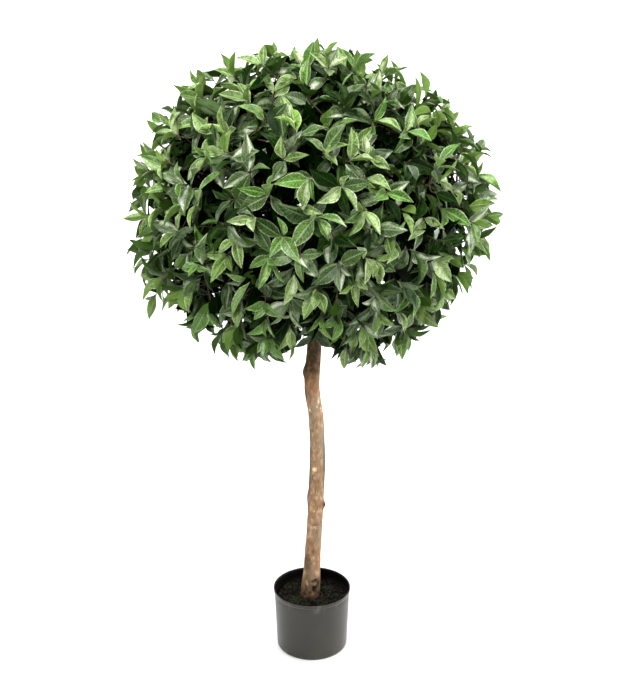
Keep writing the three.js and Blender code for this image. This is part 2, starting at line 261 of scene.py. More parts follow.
# Where a stem forks, how far it rises past a straight line, and how its arms spread, drop and leave it.
FORKS = [0.36, 0.52]
STEM_LIFT = 0.12
ARM_SPREAD = 0.6
ARM_DROP = 0.18
ARM_LEAVE = 0.3

# How much newer wood bows, how much deeper in the ball it starts, and how many branchlets reach how far out.
BOW = 0.35
DEEPER = 0.06
BRANCHLETS = 104
BRANCHLET_REACH = 0.7
BUD = {"sizes": (1.8 * MM, 2.8 * MM), "stretch": 0.9}

# Sprigs at the surface and behind it: how many, at what shares of the ball's size, and their counters.
OUTER = {"sprigs": 400, "shares": (0.79, 0.925), "places": 1, "leaves": 21}
INNER = {"sprigs": 280, "shares": (0.58, 0.76), "places": 2, "leaves": 22}
SPRIG = {
    "highest": 0.03,
    "lowest": 174 * DEGREE,
    "stray_down": 0.09,
    "stray_turn": 0.12,
    "lean": 0.9,
    "droop": 0.12,
    "low_droop": 0.85,
    "droop_from": 0.33,
    "droop_over": 0.44,
}

# Share of sprigs with no young leaves, and the order from which mature leaves take the darker tones: painted
# shade.
PLAIN_SHARE = 0.24
SHADED_FROM = 6

# How far leaves keep off the bark, and the spaces they leave free round the neck and before the stem's top.
BARK_CLEAR = 28 * MM
NECK = {"radius": 95 * MM, "top": 802 * MM}
FRONT = {"half_width": 42 * MM, "top": 796 * MM, "slope": 0.32}

# How far below a sprig's tip its leaves start, and how far apart the next ones are, closer while young.
FIRST_NODE = 1 * MM
NODE_STEP = 2.6 * MM
OLD_FROM = 3
OLD_NODE_STEP = 3.6 * MM

YOUNG = {"length": 64 * MM, "sizes": (0.72, 1.1), "widths": (0.95, 1.25)}
MATURE = {"length": 76 * MM, "sizes": (0.8, 1.1), "widths": (0.95, 1.25)}

# How far a leaf may swing round its sprig and roll on its own line, the limits of how it hangs and curls, and
# how near the ball's surface it ends.
SWING = 0.7
ROLL = 1.5
HANG = (0.4, 1.2)
CURLS = (0.5, 1.5)
ENDS = (0.98, 1.04)
SHORTEST = 0.55
TIP_LEAF = (0.7, 1.25)

# A leaf's stalk and thickness, as shares of its length.
STALK = {"end": 0.07, "half_width": 0.045}
THICKNESS = 0.006

# Young leaves of a sprig, from its tip down: order, lean away from the axis, and how many sprigs have it.
YOUNG_WHORLS = [(0, (0.15, 0.75), 1.0), (1, (0.5, 1.1), 0.85), (2, (0.7, 1.3), 0.7), (3, (0.7, 1.3), 0.25)]
MATURE_ORDERS = (4, 5, 6, 7, 8)
MATURE_TILTS = (0.7, 1.85)
MATURE_SHARE = 0.66
DEEP_TILTS = [(0.3 + 0.22 * order, 0.8 + 0.2 * order) for order in range(6)]
DEEP_SHARE = 0.85

# Each kind's shapes give half the width, the fold, arch, wave and twist, and how drawn out the ends are.
# Its tones give the blade, the pale rim and veins that also paint the sheen, and the gloss.
KINDS = {
    "young": {
        "cuts": (8, 4),
        "shapes": [
            (0.195, 0.7, 0.22, 0.12, 0.3, 0.9),
            (0.18, 0.9, 0.06, 0.16, -0.35, 0.9),
            (0.21, 0.55, 0.36, 0.14, 0.1, 1.0),
        ],
        "tones": [
            ((121, 165, 62), (224, 231, 194), 0.26),
            ((95, 148, 47), (210, 224, 174), 0.26),
            ((132, 170, 76), (230, 234, 204), 0.26),
        ],
        "under": (96, 128, 46),
        "rim_share": 0.62,
        "painted_sheen_share": 0.5,
    },
    "mature": {
        "cuts": (8, 4),
        "shapes": [
            (0.2, 0.5, 0.24, 0.2, 0.4, 0.9),
            (0.185, 0.7, 0.42, 0.24, -0.35, 0.9),
            (0.21, 0.38, 0.12, 0.28, -0.2, 1.0),
            (0.195, 0.8, 0.32, 0.16, 0.25, 0.8),
        ],
        "tones": [
            ((80, 117, 38), (202, 209, 186), 0.26),
            ((60, 97, 24), (189, 198, 169), 0.22),
            # The two darker tones paint shade on the deeper mature leaves.
            ((31, 68, 5), (148, 166, 124), 0.12),
            ((14, 45, 0), (78, 102, 54), 0.06),
        ],
        "under": (56, 84, 24),
        "rim_share": 0.38,
        "painted_sheen_share": 1.0,
    },
    # Near-black tones: painted shade on the leaves inside the ball.
    "deep": {
        "cuts": (5, 2),
        "shapes": [(0.24, 0.35, 0.25, 0.1, 0.3, 0.8), (0.22, 0.25, 0.4, 0.1, -0.3, 0.8)],
        "tones": [((9, 34, 0), (24, 53, 8), 0.04), ((3, 16, 0), (9, 28, 2), 0.02)],
        "under": (7, 25, 1),
        "rim_share": 0.1,
        "painted_sheen_share": 0.1,
    },
}

STAGE = {"floor_radius": 5.0, "sweep": 2.0, "wall_top": 6.0, "glow": 0.03, "sides": 64, "steps": 12}
WORLD_GLOW = 0.05

# Each lamp's place, what it looks at, its size and its watts.
LAMPS = {
    "overhead": ((-0.5, -0.7, 4.4), (0, 0, 1.0), 2.0, 150),
    "key": ((-0.7, -3.4, 2.9), (0, 0, 1.0), 0.8, 137),
    "fill": ((2.6, -1.9, 2.0), (0, 0, 1.0), 1.3, 50),
    "edge": ((2.4, 0.6, 0.5), (0, 0, 0.15), 0.8, 76),
    "backdrop": ((0, 2.6, 4.6), (0, 6.6, 1.2), 3.0, 520),
}
CAMERA = {"place": (7.9 * MM, -2.456, 1.586), "lean": 72.3 * DEGREE, "lens": 56.57, "sensor": 36}


# Numbers

def scatter(a, b, c=0):
    # A number from 0 to 1 that depends only on its three counters.
    wave = np.sin(np.asarray(a) * 12.9898 + np.asarray(b) * 78.233 + np.asarray(c) * 37.719) * 43758.5453
    return wave - np.floor(wave)


def between(limits, share):
    return limits[0] + (limits[1] - limits[0]) * share


def unit(vectors):
    return vectors / np.linalg.norm(vectors, axis=-1, keepdims=True)


def column(numbers):
    return np.asarray(numbers)[..., None]


def dot(a, b):
    return np.sum(a * b, axis=-1)


def shade(red, green, blue):
    # A colour given as it looks on a screen, from 0 to 255.
    linear = [((c / 255 + 0.055) / 1.055) ** 2.4 if c > 10 else c / 3295 for c in (red, green, blue)]
    return (*linear, 1.0)


def dimmed(colour, share):
    return (*(c * share for c in colour[:3]), 1.0)


# Finishes

class Value:
    # An output of one of a finish's nodes, so that sums on it add their own nodes.

    def __init__(self, finish, socket):
        self.finish = finish
        self.socket = socket

    def __add__(self, other):
        return self.finish.sum("ADD", self, other)

    def __radd__(self, other):
        return self.finish.sum("ADD", other, self)

    def __sub__(self, other):
        return self.finish.sum("SUBTRACT", self, other)

    def __rsub__(self, other):
        return self.finish.sum("SUBTRACT", other, self)

    def __mul__(self, other):
        return self.finish.sum("MULTIPLY", self, other)

    def __rmul__(self, other):
        return self.finish.sum("MULTIPLY", other, self)

    def __truediv__(self, other):
        return self.finish.sum("DIVIDE", self, other)

    def __mod__(self, other):
        return self.finish.sum("MODULO", self, other)

    def __abs__(self):
        return self.finish.sum("ABSOLUTE", self)

    def sine(self):
        return self.finish.sum("SINE", self)


class Finish:
    # One material. Its constants are set on the shader itself.

    def __init__(self, name, constants):
        self.material = bpy.data.materials.new(name)
        self.material.use_nodes = True
        tree = self.material.node_tree
        self.nodes = tree.nodes
        self.links = tree.links
        self.shader = self.nodes["Principled BSDF"]
        for socket, constant in constants.items():
            self.shader.inputs[socket].default_value = constant

    def feed(self, socket, value):
        if isinstance(value, Value):
            self.links.new(value.socket, socket)
        else:
            socket.default_value = value

    def node(self, kind, settings, sockets, output=0):
        made = self.nodes.new(kind)
        for name, setting in settings.items():
            setattr(made, name, setting)
        for name, value in sockets.items():
            self.feed(made.inputs[name], value)
        return Value(self, made.outputs[output])

    def sum(self, operation, first, second=0.0):
        return self.node("ShaderNodeMath", {"operation": operation}, {0: first, 1: second})

    def mix(self, share, first, second):
        return self.node("ShaderNodeMix", {"data_type": "RGBA"}, {0: share, 6: first, 7: second}, 2)

    def coated(self, colour, coats):
        # A colour under coats of others, each with how much of it covers.
        for share, coat in coats:
            colour = self.mix(share, colour, coat)
        return colour

    def fade(self, value, low, high):
        sockets = {"Value": value, "From Min": low, "From Max": high}
        return self.node("ShaderNodeMapRange", {"interpolation_type": "SMOOTHSTEP"}, sockets)

    def place(self):
        return self.node("ShaderNodeTexCoord", {}, {}, "Object")

    def stretched(self, place, scale):
        return self.node("ShaderNodeMapping", {}, {"Vector": place, "Scale": scale})

    def height(self, place):
        return self.node("ShaderNodeSeparateXYZ", {}, {"Vector": place}, "Z")

    def grain(self, place, scale, detail=3.0, roughness=0.5):
        sockets = {"Vector": place, "Scale": scale, "Detail": detail, "Roughness": roughness}
        return self.node("ShaderNodeTexNoise", {}, sockets)

    def cells(self, place, scale):
        return self.node("ShaderNodeTexVoronoi", {}, {"Vector": place, "Scale": scale})

    def attribute(self, name):
        return self.node("ShaderNodeAttribute", {"attribute_name": name}, {}, "Fac")

    def bump(self, height, distance, strength=1.0):
        sockets = {"Height": height, "Distance": distance, "Strength": strength}
        return self.node("ShaderNodeBump", {}, sockets)

    def put(self, socket, value):
        self.feed(self.shader.inputs[socket], value)


def pot_finish():
    finish = Finish("black_plastic", {"Specular IOR Level": 0.05, "Coat Roughness": 0.3})
    place = finish.place()
    height = finish.height(place)
    top = POT["height"]
    foot = POT["foot_radius"]
    broad = finish.grain(place, 9.0)
    streaks = finish.grain(finish.stretched(place, (40.0, 40.0, 6.0)), 1.0, 4.0, 0.6)
    specks = finish.grain(place, 420.0, 2.0, 0.7)
    near_rim = finish.fade(height, top - 34 * MM, top - 4 * MM)
    near_foot = 1.0 - finish.fade(height, 4 * MM, 22 * MM)
    level = finish.stretched(place, (1, 1, 0))
    across = finish.node("ShaderNodeVectorMath", {"operation": "LENGTH"}, {0: level}, 1)
    taper = (POT["rim_radius"] - POT["lip_step"] - foot) / top
    outside = finish.fade(across - height * taper, foot - 2 * MM, foot - 0.8 * MM)
    outside = outside * (1.0 - finish.fade(height, top - 1.6 * MM, top - 0.6 * MM))
    worn = outside * finish.fade(streaks + specks * 0.35, 0.72, 0.92) * (near_rim * 0.7 + near_foot * 0.55)
    dust = finish.fade(broad + specks * 0.2, 0.5, 0.85)
    plastic = finish.mix(broad, shade(26, 24, 18), shade(32, 30, 24))
    used = finish.coated(plastic, [(dust * 0.3, shade(80, 77, 68)), (worn * 0.45, shade(150, 147, 140))])
    # Inside the pot the plastic is painted near black, darker than outside: painted shade in the pot's
    # hollow. The rim's top takes the same dark colour.
    finish.put("Base Color", finish.mix(outside, shade(3, 3, 3), used))
    finish.put("Roughness", 0.9 - outside * 0.3)
    finish.put("Coat Weight", outside * (0.75 - worn * 0.5 - dust * 0.25))
    finish.put("Normal", finish.bump(specks + streaks * 0.6, 0.12 * MM, 0.7))
    return finish.material


def filling_finish():
    finish = Finish("compost", {"Specular IOR Level": 0.06})
    place = finish.place()
    patches = finish.grain(place, 22.0, 4.0, 0.6)
    fibres = finish.grain(finish.stretched(place, (260.0, 170.0, 200.0)), 1.0, 4.0, 0.65)
    soil = finish.mix(fibres, shade(1, 1, 0), shade(9, 7, 5))
    mossy = finish.mix(fibres, shade(3, 5, 1), shade(18, 25, 8))
    finish.put("Base Color", finish.mix(finish.fade(patches, 0.47, 0.62), soil, mossy))
    finish.put("Roughness", 0.86 + fibres * 0.14)
    finish.put("Normal", finish.bump(fibres, 1.5 * MM))
    return finish.material


def crumb_finish(name, dark, pale):
    finish = Finish(name, {"Specular IOR Level": 0.2})
    fine = finish.grain(finish.place(), 320.0, 3.0, 0.6)
    finish.put("Base Color", finish.mix(fine, dark, pale))
    finish.put("Roughness", 0.85 + fine * 0.15)
    finish.put("Normal", finish.bump(fine, 0.6 * MM))
    return finish.material


def bark_finish():
    finish = Finish("bark", {"Specular IOR Level": 0.12})
    place = finish.place()
    height = finish.height(place)
    patches = finish.grain(finish.stretched(place, (1.0, 1.0, 0.35)), 38.0, 4.0, 0.6)
    tints = finish.grain(finish.stretched(place, (60.0, 60.0, 16.0)), 1.0, 3.0, 0.6)
    blotches = finish.grain(finish.stretched(place, (1.0, 1.0, 0.6)), 95.0, 5.0, 0.65)
    streaks = finish.grain(finish.stretched(place, (330.0, 330.0, 36.0)), 1.0, 4.0, 0.6)
    flecks = finish.cells(finish.stretched(place, (210.0, 210.0, 330.0)), 1.0)
    uneven_height = height + (patches - 0.5) * 0.06
    # Painted shade: darker low on the stem, where it stands down in the pot, broken up in patches.
    foot_shade = (1.0 - finish.fade(height, 0.17, 0.2)) * (0.05 + finish.fade(patches, 0.44, 0.6) * 0.6)
    tan = finish.mix(finish.fade(tints, 0.4, 0.6), shade(128, 103, 73), shade(133, 104, 81))
    wood = finish.coated(tan, [
        (finish.fade(blotches, 0.5, 0.62) * 0.75, shade(168, 143, 115)),
        (finish.fade(1.0 - blotches, 0.52, 0.62) * 0.5, shade(104, 74, 52)),
        (finish.fade(streaks, 0.52, 0.7) * 0.4, shade(92, 64, 42)),
        (finish.fade(1.0 - patches, 0.5, 0.6) * 0.7, shade(116, 104, 84)),
        ((1.0 - finish.fade(flecks, 0.08, 0.3)) * 0.2, shade(92, 66, 48)),
        (finish.attribute("crack") * 0.7, shade(84, 58, 40)),
        (finish.attribute("grey") * (0.55 + patches * 0.6), shade(74, 58, 38)),
        (finish.attribute("pale") * finish.fade(blotches, 0.44, 0.6), shade(204, 180, 152)),
        (finish.attribute("rust") * (blotches + 0.4), shade(146, 82, 60)),
        # Painted shade: the stem starts to darken just under the crown.
        (finish.fade(uneven_height, 0.665, 0.7) * 0.55, shade(110, 76, 48)),
    ])
    # Painted shade under the crown: darker olive brown, broken up in patches.
    shade_under_crown = finish.mix(finish.fade(blotches, 0.44, 0.64), shade(48, 40, 20), shade(100, 72, 50))
    crumbs = finish.mix(finish.fade(blotches, 0.4, 0.62), shade(14, 10, 6), shade(84, 52, 44))
    finish.put("Base Color", finish.coated(wood, [
        (finish.fade(uneven_height, 0.705, 0.75) * 0.92, shade_under_crown),
        (finish.attribute("scar"), shade(214, 186, 142)),
        # Painted shade: the hollows near black.
        (finish.attribute("hollow"), shade(20, 12, 8)),
        (finish.attribute("shaded"), shade(42, 30, 24)),
        (foot_shade, shade(50, 36, 22)),
        (finish.attribute("soil") * 0.9, crumbs),
    ]))
    finish.put("Roughness", 0.62 + streaks * 0.3)
    relief = blotches * 0.6 + streaks * 0.6 - (1.0 - finish.fade(flecks, 0.05, 0.3)) * 0.3
    finish.put("Normal", finish.bump(relief, 0.7 * MM, 0.8))
    return finish.material


def twig_finish():
    finish = Finish("twig_wood", {"Specular IOR Level": 0.35})
    place = finish.place()
    streaks = finish.grain(finish.stretched(place, (60.0, 60.0, 60.0)), 1.0)
    fine = finish.grain(place, 700.0)
    finish.put("Base Color", finish.mix(streaks, shade(44, 34, 23), shade(88, 72, 50)))
    finish.put("Roughness", 0.6 + fine * 0.25)
    finish.put("Normal", finish.bump(fine, 0.4 * MM))
    return finish.material


def bud_finish():
    finish = Finish("bud_scales", {"Specular IOR Level": 0.4})
    fine = finish.grain(finish.place(), 500.0)
    finish.put("Base Color", finish.mix(fine, shade(56, 36, 26), shade(100, 68, 50)))
    finish.put("Roughness", 0.45 + fine * 0.3)
    finish.put("Normal", finish.bump(fine, 0.4 * MM))
    return finish.material


# A leaf's own map runs from its root to its tip, with the upper side in the left half and the underside in
# the right half. The midrib is the middle of each half.
HALF_MIDDLE = 0.25
HALF_SPREAD = 0.23


def leaf_finish(name, kind, blade, pale, gloss):
    finish = Finish(name, {"Specular IOR Level": gloss})
    sheet = finish.node("ShaderNodeUVMap", {"uv_map": UV_NAME}, {})
    sideways = finish.node("ShaderNodeSeparateXYZ", {}, {"Vector": sheet}, "X")
    along = finish.node("ShaderNodeSeparateXYZ", {}, {"Vector": sheet}, "Y")
    below = finish.fade(sideways, 0.49, 0.51)
    across = abs((sideways % 0.5) - HALF_MIDDLE) / HALF_SPREAD
    wobble = finish.grain(sheet, 9.0, 2.0)
    midrib = 1.0 - finish.fade(across, 0.03, 0.13)
    wave = ((along - across * 0.2 + (wobble - 0.5) * 0.05) * 62.0).sine()
    veins = finish.fade(wave, 0.75, 1.0) * (1.0 - finish.fade(across, 0.72, 0.98))
    rim = finish.fade(across, 0.8, 0.94)
    root = 1.0 - finish.fade(along, 0.0, 0.16)
    place = finish.place()
    mottle = finish.grain(place, 40.0, 2.0)
    fine = finish.grain(place, 900.0, 2.0)
    specks = finish.fade(finish.grain(place, 230.0, 2.0, 0.6), 0.46, 0.56)
    blots = finish.fade(finish.grain(place, 120.0, 2.0), 0.48, 0.55)
    beads = finish.fade(finish.grain(place, 260.0, 2.0), 0.4, 0.6)
    # Painted shade: leaves darker towards the bottom of the ball.
    low = 1.0 - finish.fade(finish.height(place), 0.86, 1.24)

    # Every leaf has its own number, which picks the half that shines and the patch of sheen on it.
    pick = finish.attribute(PICK_NAME)
    half = finish.fade(sideways % 0.5, 0.24, 0.26)
    lit_half = abs(half - finish.fade(pick, 0.49, 0.51))
    strength = finish.fade((pick * 2.0) % 1.0, 0.2, 0.7)
    own_place = {"X": along * 2.4, "Y": across * 1.1, "Z": pick * 90.0 + half * 7.0}
    spot = finish.node("ShaderNodeCombineXYZ", {}, own_place)
    patch = finish.fade(finish.grain(spot, 1.0, 1.0, 0.4), 0.38, 0.6)
    soft = finish.fade(across, 0.06, 0.3) * (1.0 - finish.fade(across, 0.6, 0.95))
    sheen = soft * patch * strength * (0.3 + lit_half * 0.7)
    inner = finish.fade(across, 0.08, 0.26) * (1.0 - finish.fade(across, 0.4, 0.8)) * (1.0 - patch)
    unlit = 1.0 - lit_half

    rim_share = kind["rim_share"]
    deep_green = dimmed(blade, 0.25)
    varied = finish.fade(mottle * 0.6 + ((pick * 5.0) % 1.0) * 0.4, 0.3, 0.7)
    finish.put("Base Color", finish.coated(dimmed(blade, 0.66), [
        (varied, blade),
        # Painted shade on the half that does not shine, with the leaf's own dark mottles and the darker print
        # between midrib and rim.
        (unlit * 0.28 + specks * 0.5 + blots * 0.36 + inner * 0.3, deep_green),
        # Painted sheen: pale patches on the leaf's shining half.
        (sheen * kind["painted_sheen_share"] * (1.0 - specks * 0.35), pale),
        (veins * 0.12, pale),
        (midrib * (0.14 + rim_share * 0.24), pale),
        # The pale rim is the leaf's own margin; its beads are painted glints along the edge.
        (rim * rim_share * (0.2 + beads * 0.8) + root * 0.2, pale),
        (below * 0.7, shade(*kind["under"])),
        # Painted shade, darker towards the bottom of the ball.
        (low * 0.52, deep_green),
    ]))
    finish.put("Roughness", 0.3 + fine * 0.2 + below * 0.25)
    relief = midrib * 0.8 + veins * 0.5 + fine * 0.2
    finish.put("Normal", finish.bump(relief, 0.6 * MM, 0.8))
    return finish.material


# Meshes

def mesh_from(name, bm):
    mesh = bpy.data.meshes.new(name)
    bm.to_mesh(mesh)
    bm.free()
    return mesh


def piece_from(name, mesh, material):
    mesh.shade_smooth()
    piece = bpy.data.objects.new(name, mesh)
    bpy.context.scene.collection.objects.link(piece)
    piece.data.materials.append(material)
    return piece


def belong(piece, slot, *nodes):
    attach(piece, "root")
    if nodes:
        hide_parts(*nodes)


def arc(centre, radius, start, end, steps):
    turns = [start + (end - start) * k / steps for k in range(steps + 1)]
    return [(centre[0] + radius * math.cos(t), centre[1] + radius * math.sin(t)) for t in turns]


def spun(profile, sides):
    # A closed shell turned from a profile of (radius, height) that starts and ends on the axis.
    bm = bmesh.new()
    corners = [bm.verts.new((radius, 0, height)) for radius, height in profile]
    edges = [bm.edges.new(pair) for pair in zip(corners, corners[1:])]
    bmesh.ops.spin(
        bm,
        geom=corners + edges,
        cent=(0, 0, 0),
        axis=(0, 0, 1),
        angle=2 * math.pi,
        steps=sides,
        use_merge=True,
    )
    bmesh.ops.remove_doubles(bm, verts=bm.verts, dist=1e-6)
    bmesh.ops.recalc_face_normals(bm, faces=bm.faces)
    return bm


def rod(sides, cuts, **settings):
    # A cylinder of radius 1 and height 1, with its length cut into even pieces.
    bm = bmesh.new()
    bmesh.ops.create_cone(bm, cap_ends=True, segments=sides, radius1=1, radius2=1, depth=1, **settings)
    upright = [edge for edge in bm.edges if abs(edge.verts[0].co.z - edge.verts[1].co.z) > 0.5]
    bmesh.ops.subdivide_edges(bm, edges=upright, cuts=cuts, use_grid_fill=True)
    return bm


def places_of(mesh):
    flat = np.empty(len(mesh.vertices) * 3)
    mesh.vertices.foreach_get("co", flat)
    return flat.reshape(-1, 3)


def add_attribute(mesh, name, values):
    layer = mesh.attributes.new(name, "FLOAT", "POINT")
    layer.data.foreach_set("value", np.asarray(values, dtype=np.float32))


def lumps(points, scale):
    # Smooth noise from -1 to 1 at each point.
    return np.array([noise.noise(Vector(point)) for point in points * scale])


class Stamp:
    # One small shape, kept as arrays, so that many bent copies can be joined in one mesh.

    def __init__(self, bm):
        mesh = mesh_from("stamp", bm)
        self.points = places_of(mesh)
        self.edges = self.read(mesh.edges, "vertices", 2, int)
        self.sharp = self.read(mesh.edges, "use_edge_sharp", 1, bool).ravel()
        self.corners = self.read(mesh.loops, "vertex_index", 1, int).ravel()
        self.corner_edges = self.read(mesh.loops, "edge_index", 1, int).ravel()
        self.starts = self.read(mesh.polygons, "loop_start", 1, int).ravel()
        self.sheet = self.read(mesh.uv_layers[0].data, "uv", 2, float) if mesh.uv_layers else None
        bpy.data.meshes.remove(mesh)

    def read(self, rows, name, width, kind):
        flat = np.empty(len(rows) * width, dtype=kind)
        rows.foreach_get(name, flat)
        return flat.reshape(-1, width)


def bead_stamp():
    bm = bmesh.new()
    bmesh.ops.create_icosphere(bm, subdivisions=1, radius=1)
    return Stamp(bm)


def joined(name, batches, material, picks=None):
    # One mesh from batches of a stamp and its copies' points, an array of copies, vertices and coordinates.
    # A batch may have its picks, one number for every copy, which the finish reads.
    points, edges, sharp, corners, corner_edges, starts, sheets = [], [], [], [], [], [], []
    vertex_count = edge_count = corner_count = 0
    for stamp, copies in batches:
        count = np.arange(len(copies))[:, None]
        first_vertex = vertex_count + count * len(stamp.points)
        first_edge = edge_count + count * len(stamp.edges)
        first_corner = corner_count + count * len(stamp.corners)
        points.append(copies.reshape(-1, 3))
        edges.append((stamp.edges[None] + first_vertex[:, :, None]).reshape(-1, 2))
        sharp.append(np.tile(stamp.sharp, len(copies)))
        corners.append((stamp.corners[None] + first_vertex).ravel())
        corner_edges.append((stamp.corner_edges[None] + first_edge).ravel())
        starts.append((stamp.starts[None] + first_corner).ravel())
        if stamp.sheet is not None:
            sheets.append(np.tile(stamp.sheet, (len(copies), 1)))
        vertex_count += len(copies) * len(stamp.points)
        edge_count += len(copies) * len(stamp.edges)
        corner_count += len(copies) * len(stamp.corners)
    mesh = bpy.data.meshes.new(name)
    mesh.vertices.add(vertex_count)
    mesh.vertices.foreach_set("co", np.concatenate(points).ravel())
    mesh.edges.add(edge_count)
    mesh.edges.foreach_set("vertices", np.concatenate(edges).ravel())
    mesh.edges.foreach_set("use_edge_sharp", np.concatenate(sharp))
    mesh.loops.add(corner_count)
    mesh.loops.foreach_set("vertex_index", np.concatenate(corners))
    mesh.loops.foreach_set("edge_index", np.concatenate(corner_edges))
    starts = np.concatenate(starts)
    mesh.polygons.add(len(starts))
    mesh.polygons.foreach_set("loop_start", starts)
    if sheets:
        layer = mesh.uv_layers.new(name=UV_NAME)
        layer.data.foreach_set("uv", np.concatenate(sheets).ravel())
    if picks:
        spread = [np.repeat(pick, len(stamp.points)) for pick, (stamp, copies) in zip(picks, batches)]
        add_attribute(mesh, PICK_NAME, np.concatenate(spread))
    mesh.update()
    return piece_from(name, mesh, material)


# Pot and filling

def pot_radius(height):
    share = height / POT["height"]
    return between((POT["foot_radius"], POT["rim_radius"] - POT["lip_step"]), share)


def pot_piece():
    lip_foot = POT["height"] - POT["lip_height"]
    foot = POT["foot_round"]
    foot_middle = (pot_radius(foot) - foot, foot)
    ring = foot_middle[0] - POT["foot_ring"]
    recess = POT["foot_recess"]
    inner_foot = pot_radius(foot) - POT["wall"]
    groove = POT["height"] - POT["groove_below"]
    groove_foot = groove - POT["groove_half"]
    groove_top = groove + POT["groove_half"]
    corner = POT["lip_corner"]
    rim = POT["rim_round"]
    rim_middle = (POT["rim_radius"] - rim, POT["height"] - rim)
    inner_rim = POT["rim_radius"] - POT["lip_step"] - POT["wall"]
    profile = [(0, recess), (ring - 3 * MM, recess), (ring, 0)]
    profile += arc(foot_middle, foot, -math.pi / 2, 0, 10)
    profile += [(pot_radius(h), h) for h in np.linspace(20 * MM, groove_foot, 12)]
    profile += [(pot_radius(groove) - POT["groove"], groove), (pot_radius(groove_top), groove_top)]
    profile += arc((pot_radius(lip_foot) + 0.1 * MM, lip_foot - 0.1 * MM), corner, -math.pi / 2, -0.2, 3)
    profile += [(POT["rim_radius"] - 0.5 * MM, lip_foot + corner)]
    profile += [(POT["rim_radius"] - 0.2 * MM, lip_foot + POT["lip_slope"])]
    profile += arc(rim_middle, rim, 0, math.pi, 8)
    profile += [(inner_rim, h) for h in np.linspace(POT["height"] - 6 * MM, FILLING["top"] - 10 * MM, 5)]
    profile += [(inner_foot, foot), (inner_foot - POT["floor_corner"], POT["floor"]), (0, POT["floor"])]
    mesh = mesh_from("nursery_pot", spun(profile, POT["sides"]))
    belong(piece_from("nursery_pot", mesh, pot_finish()), "pot", "pot")


def filling_piece():
    top = FILLING["top"]
    side = POT["wall"] + FILLING["slack"]
    edge = pot_radius(top) - side
    foot = POT["floor"] + FILLING["off_floor"]
    foot_radius = pot_radius(POT["foot_round"]) - POT["wall"] - FILLING["foot_inset"]
    out, rise = FILLING["foot_corner"]
    profile = [(0, foot), (foot_radius, foot), (foot_radius + out, rise)]
    profile += [(pot_radius(h) - side, h) for h in np.linspace(40 * MM, top - 12 * MM, 4)]
    for share in np.linspace(1, 0, FILLING["rings"]):
        near_edge = max(share - FILLING["round_from"], 0) / (1 - FILLING["round_from"])
        drop = FILLING["edge_drop"] * share**6 + FILLING["edge_round"] * near_edge
        profile.append((edge * share, top - drop))
    mesh = mesh_from("compost", spun(profile, FILLING["sides"]))
    points = places_of(mesh)
    across = np.hypot(points[:, 0], points[:, 1])
    free = np.clip((edge * 0.985 - across) / (6 * MM), 0, 1) * (points[:, 2] > top - 10 * MM)
    relief = sum(depth * lumps(points, fineness) for depth, fineness in FILLING["relief"])
    points[:, 2] += free * (relief - FILLING["sunk"])
    mesh.vertices.foreach_set("co", points.ravel())
    belong(piece_from("compost", mesh, filling_finish()), "filling", "pot_filling")


def crumb_piece(name, count, sizes, seed, material, clumps=0):
    # Loose crumbs of compost or tufts of moss on the filling, in clumps or all over.
    stamp = bead_stamp()
    index = np.arange(count)
    edge = pot_radius(FILLING["top"]) - POT["wall"] - CRUMBS["edge_gap"]
    across = edge * np.sqrt(scatter(index, seed))
    turn = 2 * math.pi * scatter(index, seed, 1)
    if clumps:
        clump = index % clumps
        out = CRUMBS["clump_width"] * (scatter(index, seed) - 0.5)
        aside = CRUMBS["clump_width"] * (scatter(index, seed, 1) - 0.5)
        across = edge * np.sqrt(scatter(clump, seed, 7)) + out
        turn = 2 * math.pi * scatter(clump, seed, 8) + aside / np.maximum(across, 20 * MM)
    across = np.clip(across, CRUMBS["stem_gap"], edge)
    size = between(sizes, scatter(index, seed, 2) ** 2)
    height = FILLING["top"] - CRUMBS["sunk"] - FILLING["edge_drop"] * (across / edge) ** 6
    middle = np.stack([across * np.cos(turn), across * np.sin(turn), height], 1)
    rough = 0.7 + 0.6 * scatter(index[:, None], np.arange(len(stamp.points))[None, :], seed)
    stretch = 0.6 + 0.8 * scatter(index[:, None], np.arange(3)[None, :], seed + 5)
    stretch[:, 2] *= 0.6
    copies = stamp.points[None] * rough[:, :, None] * stretch[:, None, :] * size[:, None, None]
    belong(joined(name, [(stamp, copies + middle[:, None])], material), "filling")


# Trunk

def trunk_middle(height):
    # A smooth line through the stem's points, which leaves each one along the line between its neighbours.
    line = np.array(TRUNK_LINE) * MM
    knots = line[:, 0]
    slopes = np.gradient(line[:, 1:], knots, axis=0)
    height = np.clip(np.asarray(height, dtype=float), knots[0], knots[-1])
    k = np.clip(np.searchsorted(knots, height, side="right") - 1, 0, len(knots) - 2)
    span = knots[k + 1] - knots[k]
    t = column((height - knots[k]) / span)
    start = line[k, 1:] * (2 * t**3 - 3 * t**2 + 1) + column(span) * slopes[k] * (t**3 - 2 * t**2 + t)
    end = line[k + 1, 1:] * (3 * t**2 - 2 * t**3) + column(span) * slopes[k + 1] * (t**3 - t**2)
    return start + end


def from_knot(height, turn, knot, spread=1.0):
    # How far a point is from a knot's middle, where 1 is its edge.
    lift = (height - knot[0] * MM) / (knot[2] * MM)
    apart = turn - knot[1] * DEGREE
    side = np.arctan2(np.sin(apart), np.cos(apart)) / (knot[3] * DEGREE)
    return np.hypot(lift, side) / spread


def marked(height, turn, marks):
    strength = np.zeros(len(height))
    for mark in marks:
        strength = strength + mark[4] * np.exp(-(from_knot(height, turn, mark) ** 3))
    return np.clip(strength, 0, 1)


def trunk_radius(height, turn):
    above = (height - TRUNK["foot"]) / TRUNK["flare_height"]
    share = (height - TRUNK["foot"]) / (TRUNK["tip"] - TRUNK["foot"])
    radius = between((TRUNK["foot_radius"], TRUNK["tip_radius"]), share)
    radius = radius + TRUNK["flare"] * np.exp(-above * above)
    for depth, count, twist in RIPPLES:
        radius = radius + depth * np.sin(count * turn + twist * height)
    for knot in KNOTS.values():
        radius = radius + knot[4] * MM * np.exp(-(from_knot(height, turn, knot) ** 2))
    return radius


